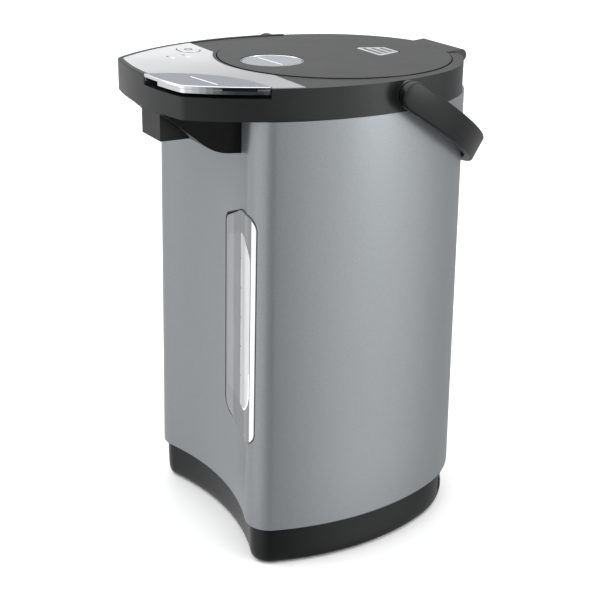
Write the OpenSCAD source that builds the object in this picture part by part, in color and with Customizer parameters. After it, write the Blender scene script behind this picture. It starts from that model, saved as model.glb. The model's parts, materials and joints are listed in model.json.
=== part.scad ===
// Electric thermo pot: a tall water boiler with a boat-shaped top collar, a hinged lid and a pumped spout.
// Frame: +Z up, front towards -Y, origin at the centre of the footprint on the surface it stands on. Millimetres.

/* [Body] */
// Height from the surface to the top of the collar
pot_h = 350; // [290:1:420]
// Half width of the steel shell at its lower edge
shell_half_w = 100.7; // [96:0.1:121]
// Radius of the round back of the shell
shell_back_r = 92.4; // [88:0.1:96]
// How far the centre of that round back lies behind the lid axis
shell_back_y = 6.2; // [4:0.1:9]
// Radius of the gently curved sides
shell_side_r = 188.9; // [170:0.1:220]
// Radius of the two front corners
shell_corner_r = 18.1; // [12:0.1:20]
// Radius of the hollow front face
shell_front_r = 202.7; // [180:0.1:260]
// Depth of the middle of the front face in front of the lid axis
shell_front_y = 94.9; // [94:0.1:99]
// Thickness of the steel sheet
shell_t = 1.0; // [0.6:0.1:1.2]
// Share of its width that the shell loses towards the top
shell_taper = 0.032; // [0.02:0.001:0.035]

/* [Base] */
// Height of the black base below the shell
base_h = 31; // [26:0.5:38]
// How far the base stands in from the shell
base_inset = 3.3; // [2.5:0.1:4]
// Wall of the base housing
base_wall = 2.5; // [2:0.1:3]
// Height of the rubber feet
foot_h = 2; // [1.5:0.1:3]
// Radius of a rubber foot
foot_r = 8; // [6:0.5:9]

/* [Collar] */
// Height of the collar
collar_h = 21.4; // [20.5:0.1:24]
// How far the collar stands out from the top of the shell at its widest
collar_lip = 0.2; // [0:0.1:3]
// Radius of the round back of the collar
collar_back_r = 92.9; // [92:0.1:96]
// Radius of the curved sides of the collar
collar_side_r = 178.6; // [170:0.1:200]
// Depth of the front of the collar in front of the lid axis
collar_front_y = 151.3; // [149:0.1:156]
// Radius of the slightly bowed front edge
collar_front_r = 231.6; // [200:1:300]
// Radius of the two front corners of the collar
collar_corner_r = 7; // [5:0.5:9]
// Thickness of the top deck
deck_t = 3.5; // [3:0.1:4]
// Thickness of the collar's walls
collar_wall = 3; // [2.5:0.1:3.5]

/* [Lid] */
// Radius of the round seam between the lid and the collar
lid_seam_r = 85; // [84:0.1:86]
// Gap between the lid and the collar
lid_gap = 0.8; // [0.5:0.1:1.2]
// Radius of the mouth under the lid
throat_r = 74; // [72:0.5:76]
// Half width of the hinge leaf
hinge_half_w = 25.3; // [22:0.1:28]
// Radius of the hinge pin
hinge_pin_r = 1.5; // [1.2:0.1:1.7]
// Radius of the round lid button
lid_button_r = 21.3; // [18:0.1:23]
// Distance of the lid button in front of the lid axis
lid_button_y = 50.5; // [50:0.5:56]

/* [Pot] */
// Inside radius of the inner pot
pot_r = 78.5; // [65:0.1:78.9]
// Thickness of the inner pot
pot_t = 0.8; // [0.5:0.1:1]
// Height of the underside of the inner pot
pot_z = 72; // [66:1:90]

/* [Spout and gauge] */
// Half width of the spout box
spout_half_w = 15.6; // [13:0.1:18]
// Distance of the outlet in front of the lid axis
spout_y = 132; // [130:0.5:133]
// Inside radius of the outlet
outlet_r = 4; // [3:0.1:4.4]
// Outside radius of the level tube and of the hoses
tube_r = 4.5; // [4:0.1:4.7]
// Bore radius of the level tube
tube_bore_r = 3.5; // [2.5:0.1:3.5]
// Distance of the level tube to the right of the middle
tube_x = 38; // [34:0.5:42]
// How far the level window stands proud of the shell
window_proud = 1.6; // [1:0.1:2]

/* [Handle] */
// Gap between the collar and the strap at the pivots
handle_side_gap = 2.8; // [2.3:0.1:4.8]
// Width of the strap
strap_w = 19.6; // [16:0.1:23]
// Thickness of the strap
strap_t = 7; // [6:0.1:8]
// Slope at which the handle hangs behind the pot
handle_drop = 32; // [31:0.5:36]
// Radius of the handle pivots
pivot_r = 3; // [2:0.1:4]

/* [Pump] */
// Distance of the pump in front of the lid axis
pump_y = 55; // [52:0.5:57]
// Outside radius of the pump housing
pump_r = 24; // [20:0.5:26]
// Radius of the motor can
motor_r = 15; // [12:0.5:16]
// Radius of the motor shaft and of the impeller pin
shaft_r = 1.5; // [1:0.1:2]

/* [Controls] */
// Travel of the dispense button
dispense_travel = 2; // [1.5:0.1:2.2]
// Travel of the lid button
lid_button_travel = 3; // [2:0.1:3]
// Travel of the latch bolt
latch_travel = 4; // [3:0.1:4]
// Length of the oval key
key_l = 20; // [16:0.5:22]
// Width of the oval key
key_w = 14; // [11:0.5:15]

/* [Hidden] */
$fn = 72;
eps = 0.01;

// Colours
painted_steel = "#9aa0a3";
black_plastic = "#26282a";
charcoal_plastic = "#55565a";
silver_paint = "#c9cacc";
chrome_plate = "#dfe1e6";
label_grey = "#a3aab8";
bright_steel = "#b9bcc0";
rubber_black = "#1c1c1d";
silicone = "#d8dadb";
clear_plastic = [0.86, 0.9, 0.92, 0.45];
white_plastic = "#e6e8e9";
board_green = "#2f5a3c";
brass_tone = "#b79a55";

// Clearances
fit_gap = 0.3;
touch_gap = 0.1;
run_gap = 0.05;
screw_gap = 0.05;

// Levels, worked up from the surface
collar_z = pot_h - collar_h;
deck_z = pot_h - deck_t;
shell_h = collar_z - base_h;
collar_half_w = shell_half_w * (1 - shell_taper) + collar_lip + 0.02;
handle_half_w = collar_half_w + handle_side_gap + strap_t / 2;
flange_r = throat_r + 10.5;
head_plate_t = 2;
head_plate_top = collar_z + head_plate_t;
support_t = 3.4;
flange_z = collar_z + support_t;
pot_top = flange_z + pot_t;
ledge_t = 5;
seal_h = 2.7;
ledge_z = pot_top + seal_h;
ledge_top = ledge_z + ledge_t;
plate_z = foot_h;
plate_t = 3;
plate_top = plate_z + plate_t;

// Outlines. An outline is a closed ring of points, drawn as arcs that meet on a common tangent.
function arc(c, r, a0, a1, n) = [for (i = [0:n]) let (a = a0 + (a1 - a0) * i / n) [c[0] + r * cos(a), c[1] + r * sin(a)]];
function heading(v) = atan2(v[1], v[0]);
// The crossing of two circles that lies on the given side of the line from c0 to c1
function crossing(c0, r0, c1, r1, side) =
    let (d = norm(c1 - c0), u = (c1 - c0) / d, a = (r0 * r0 - r1 * r1 + d * d) / (2 * d), h = sqrt(r0 * r0 - a * a))
    c0 + a * u + side * h * [-u[1], u[0]];
function both_halves(p) = concat(p, [for (i = [len(p) - 2:-1:1]) [-p[i][0], p[i][1]]]);

// Centre of the side arc, from the widest half width and the round back that it runs into
function side_centre(half_w, side_r, back_r, back_y) =
    let (cx = half_w - side_r, drop = sqrt(pow(side_r - back_r, 2) - cx * cx)) [cx, back_y - drop];

shell_side_c = side_centre(shell_half_w, shell_side_r, shell_back_r, shell_back_y);
shell_front_c = [0, -shell_front_y - shell_front_r];
// Outline of the shell, set in by d
function shell_ring(d) =
    let (rf = max(shell_corner_r - d, 1),
         f = crossing(shell_side_c, shell_side_r - d - rf, shell_front_c, shell_front_r + d + rf, 1),
         front = heading(f - shell_front_c),
         side = heading(f - shell_side_c),
         back_c = [0, shell_back_y],
         back = heading(back_c - shell_side_c))
    both_halves(concat(arc(shell_front_c, shell_front_r + d, 90, front, 16), arc(f, rf, front - 180, side, 12),
                       arc(shell_side_c, shell_side_r - d, side, back, 16), arc(back_c, shell_back_r - d, back, 90, 20)));

collar_side_c = side_centre(collar_half_w, collar_side_r, collar_back_r, 0);
collar_front_c = [0, collar_front_r - collar_front_y];
// Outline of the collar, set in by d
function collar_ring(d) =
    let (rf = max(collar_corner_r - d, 1),
         f = crossing(collar_side_c, collar_side_r - d - rf, collar_front_c, collar_front_r - d - rf, -1),
         front = heading(f - collar_front_c),
         side = heading(f - collar_side_c),
         back = heading(-collar_side_c))
    both_halves(concat(arc(collar_front_c, collar_front_r - d, -90, front, 10), arc(f, rf, front, side, 8),
                       arc(collar_side_c, collar_side_r - d, side, back, 20), arc([0, 0], collar_back_r - d, back, 90, 20)));

module shell_plate(d, z, t) { translate([0, 0, z]) linear_extrude(t) polygon(shell_ring(d)); }
module collar_plate(d, z, t) { translate([0, 0, z]) linear_extrude(t) polygon(collar_ring(d)); }
// The space inside the tapering shell, set in by d, between two levels
module shell_core(d, z0 = base_h, z1 = collar_z) {
    k0 = 1 - shell_taper * (z0 - base_h) / shell_h;
    k1 = 1 - shell_taper * (z1 - base_h) / shell_h;
    translate([0, 0, z0]) linear_extrude(z1 - z0, scale = k1 / k0) scale(k0) polygon(shell_ring(d));
}
module tube(r_out, r_in, z0, z1) {
    translate([0, 0, z0]) difference() {
        cylinder(r = r_out, h = z1 - z0);
        translate([0, 0, -eps]) cylinder(r = r_in, h = z1 - z0 + 2 * eps);
    }
}
module disc(r, z0, z1) { translate([0, 0, z0]) cylinder(r = r, h = z1 - z0); }
module along_x(r, x0, x1, y, z) { translate([x0, y, z]) rotate([0, 90, 0]) cylinder(r = r, h = x1 - x0); }
module block(lo, hi) { translate(lo) cube(hi - lo); }
module at_each(points) { for (p = points) translate([p[0], p[1], 0]) children(); }
module both_sides() { children(); mirror([1, 0, 0]) children(); }
// A screw that points up: head at z0, tip at z1
module screw(r, head_r, head_h, z0, z1) {
    disc(head_r, z0, z0 + head_h);
    disc(r, z0 + head_h - eps, z1);
}
// A helical compression spring standing on z = 0
module coil_spring(mean_r, wire_r, h, turns) {
    sides = 6;
    rings = 14;
    steps = turns * rings;
    rise = h - 2 * wire_r;
    at = function (i) let (a = 360 * i / rings) [mean_r * cos(a), mean_r * sin(a), wire_r + rise * i / steps];
    pts = [for (i = [0:steps]) let (a = 360 * i / rings) for (j = [0:sides - 1]) let (b = 360 * j / sides)
        at(i) + wire_r * [cos(b) * cos(a), cos(b) * sin(a), sin(b)]];
    side_faces = [for (i = [0:steps - 1]) for (j = [0:sides - 1]) let (k = (j + 1) % sides, a = i * sides, b = a + sides)
        each [[a + j, b + j, a + k], [a + k, b + j, b + k]]];
    last = steps * sides;
    ends = [for (j = [1:sides - 2]) each [[0, j, j + 1], [last, last + j + 1, last + j]]];
    polyhedron(pts, concat(side_faces, ends));
}

// Where the riser hose passes the head plate; it already bends towards the outlet there
module riser_hole() {
    translate([tube_x, -tube_y, 0]) rotate(riser_turn) translate([2, 0, 0]) disc(tube_r + 2.6, collar_z - 6, pot_h);
}

// Shell
shell_fold = 9;
top_fold = 6;
module outer_shell() {
    color(painted_steel) difference() {
        shell_core(0);
        shell_core(shell_t, base_h + shell_t, collar_z - shell_t);
        shell_core(shell_fold, base_h, base_h + 2 * shell_t);
        shell_core(top_fold, collar_z - 2 * shell_t, collar_z);
        intersection() {
            riser_hole();
            shell_core(shell_t + eps, collar_z - 3, collar_z);
        }
        window_prism(0);
    }
}

// Level window: corner points of its outline on the front, each with the radius that rounds it
window_left = 13.5;
window_right = 79.5;
window_low = 95;
window_high = 264.5;
window_shoulder = 18;
window_mid = 50;
window_corners = [
    [window_left, window_low + 4, 9], [window_mid, window_low - 2, 60], [window_right, window_low + 2.5, 9],
    [window_right - 0.4, window_high - 0.5, 9], [window_mid, window_high - 2.7, 40],
    [window_left, window_high - window_shoulder, 6]
];
// Rounds each corner of a closed polygon of [x, y, radius]
function rounded(c, n = 6) = [for (i = [0:len(c) - 1])
    let (m = len(c), q = [c[i][0], c[i][1]],
         a = [c[(i + m - 1) % m][0], c[(i + m - 1) % m][1]] - q, b = [c[(i + 1) % m][0], c[(i + 1) % m][1]] - q,
         ua = a / norm(a), ub = b / norm(b), half = acos(min(max(ua * ub, -1), 1)) / 2,
         centre = q + (ua + ub) / norm(ua + ub) * c[i][2] / sin(half),
         p0 = q + ua * c[i][2] / tan(half) - centre, p1 = q + ub * c[i][2] / tan(half) - centre,
         a0 = heading(p0), turn = heading(p1) - a0, sweep = turn > 180 ? turn - 360 : turn < -180 ? turn + 360 : turn)
    for (k = [0:n]) centre + c[i][2] * [cos(a0 + sweep * k / n), sin(a0 + sweep * k / n)]];
module window_prism(d) {
    translate([0, -70, 0]) rotate([90, 0, 0]) linear_extrude(60) offset(delta = -d) polygon(rounded(window_corners));
}
module gauge_window() {
    color(clear_plastic) intersection() {
        difference() {
            shell_core(-window_proud);
            shell_core(shell_t);
        }
        window_prism(0.4);
    }
}
tube_y = 88.8;
tray_back_y = tube_y - tube_r - 0.5;
tray_t = 2;
tray_margin = 3;
module gauge_tray() {
    color(white_plastic) difference() {
        intersection() {
            shell_core(shell_t + touch_gap);
            block([window_left - tray_margin, -130, window_low - tray_margin],
                  [window_right + 4, -tray_back_y + tray_t, window_high + tray_margin]);
        }
        difference() {
            window_prism(2);
            block([-200, -tray_back_y, 0], [200, 0, pot_h]);
        }
        translate([tube_x, -tube_y, 0]) disc(tube_r + touch_gap, 0, pot_h);
    }
}
tube_z0 = 75;
tube_z1 = collar_z - 36.6;
module gauge_tube() {
    color(clear_plastic) translate([tube_x, -tube_y, 0]) tube(tube_r, tube_bore_r, tube_z0, tube_z1);
}

// Base
base_opening_r = 62;
bracket_posts = [[30, -pump_y], [-30, -pump_y]];
bracket_half = 38;
boss_r = 4.5;
base_screw_r = 1.5;
base_bosses = [[58, -74], [-58, -74], [66, 34], [-66, 34]];
feet = [[68, -88], [-68, -88], [50, 62], [-50, 62]];
loom_x = -72;
loom_y = -82;
loom_r = 2.5;
inlet_angle = 51.5;
inlet_w = 34;
inlet_low = 6;
inlet_high = 24;
inlet_depth = 22;
base_back_r = shell_back_r - base_inset;
// Turns a shape that is built along +X so that it looks out of the base at the power inlet
module at_inlet() { translate([0, shell_back_y, 0]) rotate(inlet_angle) children(); }
module base_housing() {
    color(black_plastic) difference() {
        union() {
            difference() {
                shell_plate(base_inset, plate_z, base_h - plate_z);
                shell_plate(base_inset + base_wall, plate_z - 1, base_h - plate_z - 2);
                disc(base_opening_r, 0, pot_h);
                at_pump() disc(pump_r + 3, 0, pot_h);
                block([-bracket_half - 2, -pump_y - 10, 0], [bracket_half + 2, 0, pot_h]);
            }
            at_each(base_bosses) disc(boss_r, plate_top, base_h - 2);
        }
        at_each(base_bosses) disc(base_screw_r + screw_gap, 0, plate_top + 12);
        translate([loom_x, loom_y, 0]) disc(loom_r + fit_gap, 0, pot_h);
        at_inlet() block([base_back_r - inlet_depth, -inlet_w / 2 - 0.2, inlet_low - 0.2],
                         [base_back_r + 20, inlet_w / 2 + 0.2, inlet_high + 0.2]);
    }
}
board_lo = [-45, 14];
board_hi = [30, 56];
board_posts = [for (x = [board_lo[0] + 5, board_hi[0] - 5]) for (y = [board_lo[1] + 5, board_hi[1] - 5]) [x, y]];
board_z = plate_top + 4;
board_t = 1.6;
bracket_z = 30;
base_head_r = 3;
base_head_h = 2;
vent_slots = 7;
vent_pitch = 8;
module base_plate() {
    color(black_plastic) difference() {
        union() {
            shell_plate(base_inset + base_wall + fit_gap, plate_z, plate_t);
            at_each(bracket_posts) disc(4, plate_top - eps, bracket_z);
            at_each(board_posts) disc(3, plate_top - eps, board_z);
        }
        at_each(base_bosses) {
            disc(base_screw_r + 0.3, 0, plate_top + 1);
            disc(base_head_r + 0.3, 0, plate_z + base_head_h);
        }
        at_each(bracket_posts) disc(base_screw_r + screw_gap, bracket_z - 10, bracket_z + 1);
        for (i = [0:vent_slots - 1]) {
            x = (i - (vent_slots - 1) / 2) * vent_pitch;
            block([x - 1.5, -28, 0], [x + 1.5, 4, plate_top + 1]);
        }
    }
}
module rubber_feet() {
    color(rubber_black) at_each(feet) difference() {
        disc(foot_r, 0, foot_h);
        disc(foot_r / 2, -1, foot_h / 3);
    }
}
module base_screws() {
    color(bright_steel) at_each(base_bosses)
        screw(base_screw_r, base_head_r, base_head_h - 0.2, plate_z + 0.2, plate_top + 10);
}
module power_board() {
    color(board_green) {
        block([board_lo[0], board_lo[1], board_z], [board_hi[0], board_hi[1], board_z + board_t]);
        block([-38, 26, board_z], [-14, 50, board_z + 16]);
        block([-6, 36, board_z], [8, 52, board_z + 14]);
        translate([16, 42, 0]) disc(6, board_z, board_z + 17);
        translate([-2, 24, 0]) disc(4, board_z, board_z + 11);
    }
}
socket_wall = 3;
socket_pin_r = 1.6;
socket_pin_gap = 6.5;
module inlet_socket() {
    color(rubber_black) at_inlet() difference() {
        intersection() {
            block([base_back_r - inlet_depth, -inlet_w / 2, inlet_low], [base_back_r, inlet_w / 2, inlet_high]);
            disc(base_back_r - 0.4, 0, pot_h);
        }
        block([base_back_r - inlet_depth + 6, -inlet_w / 2 + socket_wall, inlet_low + socket_wall],
              [base_back_r + 1, inlet_w / 2 - socket_wall, inlet_high - socket_wall]);
        for (s = [-1, 1])
            along_x(socket_pin_r + screw_gap, base_back_r - inlet_depth + 2, base_back_r, s * socket_pin_gap,
                    (inlet_low + inlet_high) / 2);
    }
}
module inlet_pins() {
    color(brass_tone) at_inlet() for (s = [-1, 1])
        along_x(socket_pin_r, base_back_r - inlet_depth + 2, base_back_r - 7, s * socket_pin_gap,
                (inlet_low + inlet_high) / 2);
}

// Pump and motor, on one vertical axis
bracket_t = 2;
pump_z = bracket_z + bracket_t + 6;
pump_floor = 2;
pump_top = pump_z + 16;
pump_cover_t = 2;
impeller_r = pump_r - 5;
impeller_z = pump_z + 4;
impeller_h = 8;
pin_top = pump_z + 14;
spigot_r = 6;
outlet_z = pump_z + 9;
outlet_span = norm([tube_x, tube_y - pump_y]);
outlet_turn = atan2(-(tube_y - pump_y), tube_x);
hose_bend = 12;
spigot_end = 32;
module at_pump() { translate([0, -pump_y, 0]) children(); }
module at_outlet() { at_pump() rotate(outlet_turn) children(); }
module pump_housing() {
    color(white_plastic) difference() {
        union() {
            at_pump() disc(pump_r, pump_z, pump_top);
            at_outlet() along_x(tube_r, pump_r - 2, spigot_end, 0, outlet_z);
        }
        at_pump() disc(pump_r - 3.5, pump_z + pump_floor, pump_top + 1);
        at_outlet() along_x(tube_bore_r - 0.5, pump_r - 6, spigot_end + 1, 0, outlet_z);
        at_pump() disc(shaft_r, pump_z + 1, pump_z + pump_floor + 1);
    }
}
module pump_cover() {
    color(white_plastic) at_pump() {
        difference() {
            union() {
                disc(pump_r, pump_top, pump_top + pump_cover_t);
                disc(spigot_r, pump_top, pot_z - 11);
            }
            disc(outlet_r, pump_top - 1, pot_z);
        }
    }
}
module impeller_pin() { color(bright_steel) at_pump() disc(shaft_r, pump_z + 1, pin_top); }
module impeller() {
    color(black_plastic) at_pump() difference() {
        union() {
            disc(impeller_r, impeller_z, impeller_z + 1.5);
            disc(4, impeller_z, impeller_z + impeller_h);
            for (i = [0:5]) rotate(60 * i) translate([impeller_r / 2, 0, 0]) rotate(25)
                block([-impeller_r / 2 + 1.5, -0.8, impeller_z], [impeller_r / 2 - 2.5, 0.8, impeller_z + impeller_h]);
        }
        disc(shaft_r + run_gap, 0, pot_h);
    }
}
module impeller_magnet() { color(charcoal_plastic) at_pump() tube(impeller_r - 2, 6, impeller_z - 1.4, impeller_z); }
module motor_bracket() {
    color(bright_steel) difference() {
        union() {
            at_pump() disc(pump_r, bracket_z, bracket_z + bracket_t);
            block([-bracket_half, -pump_y - 8, bracket_z], [bracket_half, -pump_y + 8, bracket_z + bracket_t]);
            at_pump() tube(pump_r, pump_r - 3, bracket_z, pump_z);
        }
        at_pump() disc(5, 0, pot_h);
        at_each(bracket_posts) disc(base_screw_r + 0.3, 0, pot_h);
    }
}
module bracket_screws() {
    color(bright_steel) at_each(bracket_posts)
        translate([0, 0, bracket_z + bracket_t + 2]) mirror([0, 0, 1]) screw(base_screw_r, 3, 2, 0, 11);
}
motor_z = 8;
module pump_motor() {
    color(bright_steel) at_pump() difference() {
        disc(motor_r, motor_z, bracket_z);
        disc(motor_r - 1.5, motor_z + 2, bracket_z - 2);
        disc(shaft_r + run_gap, 0, pot_h);
    }
}
magnet_z = bracket_z + bracket_t + 1;
module motor_rotor() {
    color(brass_tone) at_pump() {
        disc(shaft_r, motor_z - 1.5, magnet_z + 2);
        disc(motor_r - 3.5, motor_z + 4, bracket_z - 4);
    }
}
module drive_magnet() {
    color(charcoal_plastic) at_pump() difference() {
        disc(pump_r - 8, magnet_z, magnet_z + 3.5);
        disc(shaft_r, magnet_z - 1, magnet_z + 2);
    }
}
// Hoses are straight tubes joined by quarter bends; bend_r is the radius of the bend's middle line
module hose_bend(bend_r) {
    rotate([90, 0, 0]) rotate_extrude(angle = 90) translate([bend_r, 0]) difference() {
        circle(r = tube_r);
        circle(r = tube_bore_r - 0.5);
    }
}
module hose_run(l) { rotate([0, 90, 0]) tube(tube_r, tube_bore_r - 0.5, 0, l); }
module outlet_hose() {
    color(silicone) at_outlet() {
        translate([spigot_end, 0, outlet_z]) hose_run(outlet_span - hose_bend - spigot_end);
        translate([outlet_span - hose_bend, 0, outlet_z + hose_bend]) mirror([0, 0, 1]) hose_bend(hose_bend);
        translate([outlet_span, 0, 0]) tube(tube_r, tube_bore_r - 0.5, outlet_z + hose_bend, tube_z0);
    }
}
module inlet_hose() { color(silicone) at_pump() tube(spigot_r + 1.5, spigot_r + 0.05, pump_top + 2.5, pot_z - 2); }

// Inner pot and what lies under it
module inner_pot() {
    color(bright_steel) difference() {
        union() {
            disc(pot_r + pot_t, pot_z, pot_top);
            disc(flange_r, flange_z, pot_top);
            at_pump() disc(spigot_r, pot_z - 10, pot_z + pot_t);
        }
        disc(pot_r, pot_z + pot_t, pot_top + 1);
        at_pump() disc(outlet_r + 0.5, 0, pot_z + 5);
    }
}
module pot_seal() { color(silicone) tube(flange_r - 0.5, throat_r + 2, pot_top, ledge_z); }
heater_y = 12;
module heater() {
    color(bright_steel) translate([0, heater_y, 0]) {
        tube(48, 16, pot_z - 3, pot_z);
        tube(42, 30, pot_z - 7, pot_z - 3);
    }
}
thermostats_at = [[-62, 6], [62, 6]];
module thermostats() {
    color(brass_tone) at_each(thermostats_at) {
        disc(8, pot_z - 6, pot_z);
        for (s = [-1, 1]) translate([0, 4 * s, 0]) disc(1.2, pot_z - 11, pot_z - 6 + eps);
    }
}
module thermal_fuse() {
    color(white_plastic) {
        along_x(2, -9, 9, 68, pot_z - 2);
        along_x(0.6, -15, 15, 68, pot_z - 2);
    }
}
heater_lead = [-20, 20];
module wiring_loom() {
    color(rubber_black) {
        translate([loom_x, loom_y, 0]) disc(loom_r, 18 + 8, panel_board_z);
        run = [loom_x, loom_y] - [-45, 20];
        translate([-45, 20, 18]) rotate(heading(run)) {
            rotate([0, 90, 0]) cylinder(r = loom_r, h = norm(run) - 8);
            translate([norm(run) - 8, 0, 8]) rotate([90, 0, 0]) mirror([0, 1, 0])
                rotate_extrude(angle = 90) translate([8, 0]) circle(r = loom_r);
        }
        translate([-45, 20, 0]) disc(loom_r, board_z + board_t, 18);
        translate([heater_lead[0], heater_lead[1], 0]) disc(2, board_z + board_t, pot_z - 7);
    }
}

// Collar
hinge_y = 94;
hinge_z = pot_h - 3.1;
barrel_r = 4.8;
knuckle_r = 2.6;
knuckle_half_w = 12;
leaf_z = pot_h - 3;
leaf_slot = hinge_half_w + 0.6;
lid_top = pot_h + 0.6;
pivot_z = pot_h - 9.8;
hub_r = strap_w / 2 - 0.2;
hub_out = handle_half_w - strap_t / 2 - 1;
pivot_bore_end = handle_half_w + 1.5;
button_c = [78, -166];
button_arc_r = 71;
button_gap = 0.6;
notch_floor = pot_h - 6.4;
stem_low = pot_h - 11.7;
notch_t = 3;
stem_at = [50, -127];
stem_r = 3;
key_at = [-61.5, -87];
leds_at = [[-37, -110], [-36.5, -98.5]];
led_r = 1.8;
head_bosses = [[30, -124], [-30, -124], [0, -108]];
panel_t = 1.2;
panel_z = pot_h - 0.8;
panel_margin = 2.2;
panel_arc_r = lid_seam_r + 2.4;
panel_wing_y = -73.6;
panel_board_z = deck_z - 5.5;
latch_half_w = 7;
latch_z0 = pot_h - 7;
latch_z1 = pot_h - 4.6;
latch_tip = -lid_seam_r - 3.5;
bowl_wall = 3;
module oval(l, w) {
    for (s = [-1, 1]) translate([s * (l - w) / 2, 0]) circle(d = w);
    square([l - w, w], center = true);
}
module panel_outline(d) {
    difference() {
        polygon(collar_ring(panel_margin + d));
        translate([-200, panel_wing_y - d]) square([400, 400]);
        circle(r = panel_arc_r + d);
        translate(button_c) circle(r = button_arc_r + 1.5 + d);
    }
}
module button_outline(d, edge) {
    intersection() {
        polygon(collar_ring(edge));
        translate(button_c) circle(r = button_arc_r - d);
    }
}
module collar_body() {
    difference() {
        union() {
            difference() {
                collar_plate(0, collar_z, collar_h);
                collar_plate(collar_wall, collar_z - 1, collar_h - deck_t + 1);
            }
            disc(lid_seam_r + bowl_wall, ledge_z, deck_z + 1);
            translate([0, 0, notch_floor - notch_t]) linear_extrude(pot_h - notch_floor + notch_t - 0.5)
                button_outline(-2.5, 0.5);
            intersection() {
                block([-leaf_slot - 5, lid_seam_r - 2, hinge_z - 10], [leaf_slot + 5, collar_back_r, deck_z + 1]);
                collar_plate(1, 0, pot_h);
            }
            both_sides() along_x(hub_r, lid_seam_r + 1, hub_out, 0, pivot_z);
            at_each(head_bosses) disc(3.5, head_plate_top, deck_z + 1);
            at_each([[-28, -105], [-70, -98]]) disc(2.5, panel_board_z + board_t, deck_z + 1);
        }
        disc(lid_seam_r, ledge_top, pot_h + 1);
        disc(throat_r, 0, pot_h + 1);
        // Well for the dispense button, open at the front and at the right
        translate([0, 0, notch_floor]) linear_extrude(pot_h) button_outline(0, -5);
        translate([stem_at[0], stem_at[1], 0]) disc(stem_r + 0.2, notch_floor - notch_t - 1, pot_h);
        // Slot for the hinge leaf and the round pocket that its barrel turns in
        block([-leaf_slot, lid_seam_r - 10, leaf_z - 0.5], [leaf_slot, 120, pot_h + 1]);
        along_x(barrel_r + 0.5, -leaf_slot, leaf_slot, hinge_y, hinge_z);
        both_sides() along_x(pivot_r + 0.02, lid_seam_r + 2, hub_out + 1, 0, pivot_z);
        // Keeper for the latch
        block([-latch_half_w - 0.6, latch_tip - 1, latch_z0 - 0.5], [latch_half_w + 0.6, -lid_seam_r + 3, latch_z1 + 0.5]);
        // Seat of the control panel, with the holes under it
        translate([0, 0, panel_z]) linear_extrude(2) panel_outline(-touch_gap);
        translate([key_at[0], key_at[1], 0]) linear_extrude(pot_h + 1) oval(key_l + 0.6, key_w + 0.6);
        at_each(leds_at) disc(led_r + 0.2, 0, pot_h + 1);
        at_each(head_bosses) disc(base_screw_r + screw_gap, 0, head_plate_top + 5);
    }
}
module top_collar() {
    color(charcoal_plastic) difference() {
        union() {
            collar_body();
            along_x(knuckle_r, -knuckle_half_w, knuckle_half_w, hinge_y, hinge_z);
            block([-knuckle_half_w, hinge_y - 7, hinge_z - 4.6], [knuckle_half_w, hinge_y - 0.6, leaf_z - 0.6]);
        }
        along_x(hinge_pin_r + 0.02, -knuckle_half_w - 1, knuckle_half_w + 1, hinge_y, hinge_z);
    }
}
module at_stem() { translate([stem_at[0], stem_at[1], 0]) children(); }
module head_underside() {
    color(black_plastic) difference() {
        collar_plate(collar_wall + fit_gap, collar_z, head_plate_t);
        block([-200, -92.3, 0], [200, 200, pot_h]);
        translate([0, -spout_y, 0]) disc(6.2, 0, pot_h);
        riser_hole();
        at_each(head_bosses) disc(base_screw_r + 0.3, 0, pot_h);
    }
}
module collar_screws() {
    color(bright_steel) at_each(head_bosses) screw(base_screw_r, 3, 2, collar_z - 2, head_plate_top + 4.5);
}
module pot_support() {
    color(black_plastic) difference() {
        collar_plate(collar_wall + fit_gap, collar_z, support_t);
        block([-200, -300, 0], [200, -92, pot_h]);
        disc(pot_r + pot_t + touch_gap, 0, pot_h);
        both_sides() along_x(hub_r + fit_gap, lid_seam_r - 2, 150, 0, pivot_z);
        riser_hole();
        translate([loom_x, loom_y, 0]) disc(loom_r + fit_gap, 0, pot_h);
    }
}
module control_panel() {
    color(silver_paint) difference() {
        translate([0, 0, panel_z]) linear_extrude(panel_t) panel_outline(0);
        translate([key_at[0], key_at[1], 0]) linear_extrude(pot_h + 5) oval(key_l + 0.6, key_w + 0.6);
        at_each(leds_at) disc(led_r + 0.2, 0, pot_h + 5);
    }
}
module panel_board() {
    color(board_green) {
        difference() {
            translate([0, 0, panel_board_z]) linear_extrude(board_t) difference() {
                polygon(collar_ring(collar_wall + 1.5));
                translate([-20, -200]) square([400, 400]);
                translate([-200, -78]) square([400, 400]);
                translate([-200, -318]) square([400, 200]);
                circle(r = lid_seam_r + bowl_wall + 1);
            }
        }
        translate([key_at[0], key_at[1], 0]) disc(3, panel_board_z + board_t, deck_z - 2.1);
    }
}
module led_lenses() {
    color(clear_plastic) at_each(leds_at) disc(led_r, panel_board_z + board_t, panel_z + panel_t + 0.2);
}
key_flange = 1.5;
module mode_key() {
    color(silver_paint) translate([key_at[0], key_at[1], 0]) {
        translate([0, 0, deck_z - 1.2]) linear_extrude(1) oval(key_l + 2 * key_flange, key_w + 2 * key_flange);
        translate([0, 0, deck_z - 1.2]) linear_extrude(deck_t + 1.2 + 1) oval(key_l, key_w);
    }
}

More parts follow.
